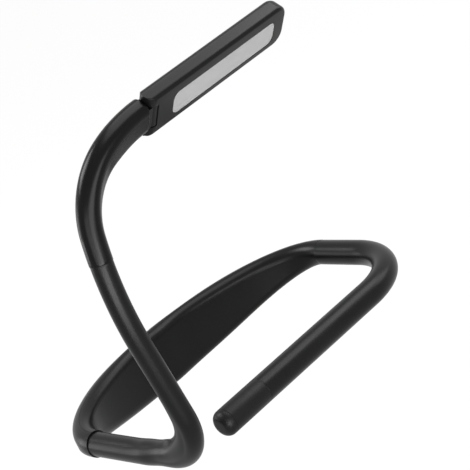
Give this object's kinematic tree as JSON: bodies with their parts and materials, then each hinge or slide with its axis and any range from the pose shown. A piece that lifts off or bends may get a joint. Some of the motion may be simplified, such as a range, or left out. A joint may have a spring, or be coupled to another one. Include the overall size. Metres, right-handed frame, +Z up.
{
  "type": "neck reading light",
  "caption": "Neck-worn reading light: a U-shaped collar with a bendable tail tube and a bendable lamp tube that carries a tilting light bar.",
  "frame": {"origin": "centre of the neck opening, midway between the plate's two tube ends and level with the tubes' axes", "axes": "+X from the lamp side to the tail side (the wearer's left), -Y to the wearer's front, +Z up along the wearer's neck"},
  "size_m": [0.1718, 0.1306, 0.1653],
  "materials": {
    "plate_rubber": "matt soft-touch silicone over moulded plastic",
    "tube_rubber": "matt silicone sleeve",
    "cap_plastic": "satin moulded plastic",
    "arm_plastic": "semi-gloss moulded plastic",
    "bar_plastic": "fine satin moulded plastic",
    "button_rubber": "matt silicone",
    "diffuser_plastic": "frosted translucent sheet, light switched off",
    "light_pipe": "frosted light pipe",
    "white_plastic": "white moulded plastic",
    "board_white": "white solder mask",
    "led_chip": "yellow phosphor under clear resin",
    "board_green": "green solder mask",
    "steel": "nickel-plated steel",
    "washer_plastic": "black acetal",
    "battery_foil": "satin pouch foil",
    "foam": "closed-cell foam",
    "crimp_metal": "turned",
    "hose_steel": "spiral-wound",
    "wire_metal": "bendable drawn wire",
    "lead_pvc": "soft insulated lead"
  },
  "bodies": {
    "collar": {"back_shell": "plate_rubber", "neck_shell": "plate_rubber", "main_board": "board_green", "board_screws": "steel", "tactile_switches": "white_plastic", "usb_socket": "steel", "charge_light": "light_pipe", "battery_cell": "battery_foil", "battery_pad": "foam", "lamp_anchor": "crimp_metal", "tail_anchor": "crimp_metal", "lamp_sleeve_flex_1": "tube_rubber", "lamp_hose_flex_1": "hose_steel", "lamp_lead_flex_1": "lead_pvc", "tail_sleeve_flex_1": "tube_rubber", "tail_wire_flex_1": "wire_metal"},
    "brightness_key": {"brightness_button": "button_rubber"},
    "colour_key": {"colour_button": "button_rubber"},
    "lamp_base": {"lamp_sleeve_base": "tube_rubber", "lamp_hose_base": "hose_steel", "lamp_lead_base": "lead_pvc", "lamp_sleeve_flex_2": "tube_rubber", "lamp_hose_flex_2": "hose_steel", "lamp_lead_flex_2": "lead_pvc"},
    "lamp_riser": {"lamp_sleeve_riser": "tube_rubber", "lamp_hose_riser": "hose_steel", "lamp_lead_riser": "lead_pvc", "lamp_sleeve_flex_3": "tube_rubber", "lamp_hose_flex_3": "hose_steel", "lamp_lead_flex_3": "lead_pvc"},
    "lamp_arm": {"lamp_sleeve_top": "tube_rubber", "lamp_hose_top": "hose_steel", "lamp_lead_top": "lead_pvc", "arm_socket": "crimp_metal", "arm_lead": "lead_pvc", "arm_front_shell": "arm_plastic", "arm_rear_shell": "arm_plastic", "hinge_tongue": "bar_plastic"},
    "light_bar": {"head_housing": "bar_plastic", "head_bezel": "bar_plastic", "diffuser": "diffuser_plastic", "reflector": "white_plastic", "led_board": "board_white", "leds": "led_chip", "hinge_pin": "steel", "friction_washers": "washer_plastic"},
    "tail_corner": {"tail_sleeve_corner": "tube_rubber", "tail_wire_corner": "wire_metal", "tail_sleeve_flex_2": "tube_rubber", "tail_wire_flex_2": "wire_metal"},
    "tail_arm": {"tail_sleeve_front": "tube_rubber", "tail_wire_front": "wire_metal", "tail_cap": "cap_plastic", "tail_ferrule": "crimp_metal"}
  },
  "joints": [
    {"name": "lamp_swing", "type": "hinge", "parent": "collar", "child": "lamp_base", "pos_m": [-0.0775, -0.017, 0], "axis": [0, 0, -1], "range_deg": [-5, 45], "deforming": ["lamp_sleeve_flex_1", "lamp_hose_flex_1", "lamp_lead_flex_1"]},
    {"name": "lamp_pitch", "type": "hinge", "parent": "lamp_base", "child": "lamp_riser", "pos_m": [-0.07818, -0.06761, 0.00705], "axis": [1, 0, 0], "range_deg": [-30, 40], "deforming": ["lamp_sleeve_flex_2", "lamp_hose_flex_2", "lamp_lead_flex_2"]},
    {"name": "arm_lean", "type": "hinge", "parent": "lamp_riser", "child": "lamp_arm", "pos_m": [-0.08177, -0.0747, 0.0443], "axis": [0, 1, 0], "range_deg": [-30, 20], "deforming": ["lamp_sleeve_flex_3", "lamp_hose_flex_3", "lamp_lead_flex_3"]},
    {"name": "head_tilt", "type": "hinge", "parent": "lamp_arm", "child": "light_bar", "pos_m": [-0.03445, -0.07493, 0.13157], "axis": [0.0134, 0.6428, -0.7659], "range_deg": [-30, 40]},
    {"name": "tail_open", "type": "hinge", "parent": "collar", "child": "tail_corner", "pos_m": [0.0775, -0.011, 0], "axis": [0, 0, 1], "range_deg": [-5, 45], "deforming": ["tail_sleeve_flex_1", "tail_wire_flex_1"]},
    {"name": "tail_raise", "type": "hinge", "parent": "tail_corner", "child": "tail_arm", "pos_m": [0.027, -0.0587, 0], "axis": [0, 1, 0], "range_deg": [-25, 35], "deforming": ["tail_sleeve_flex_2", "tail_wire_flex_2"]},
    {"name": "brightness_press", "type": "slide", "parent": "collar", "child": "brightness_key", "axis": [0.2317, -0.9728, 0], "range_m": [0, 0.00035], "stiffness_N_per_m": 1500, "springref_m": -0.0002},
    {"name": "colour_press", "type": "slide", "parent": "collar", "child": "colour_key", "axis": [0.2317, -0.9728, 0], "range_m": [0, 0.00035], "stiffness_N_per_m": 1500, "springref_m": -0.0002}
  ]
}
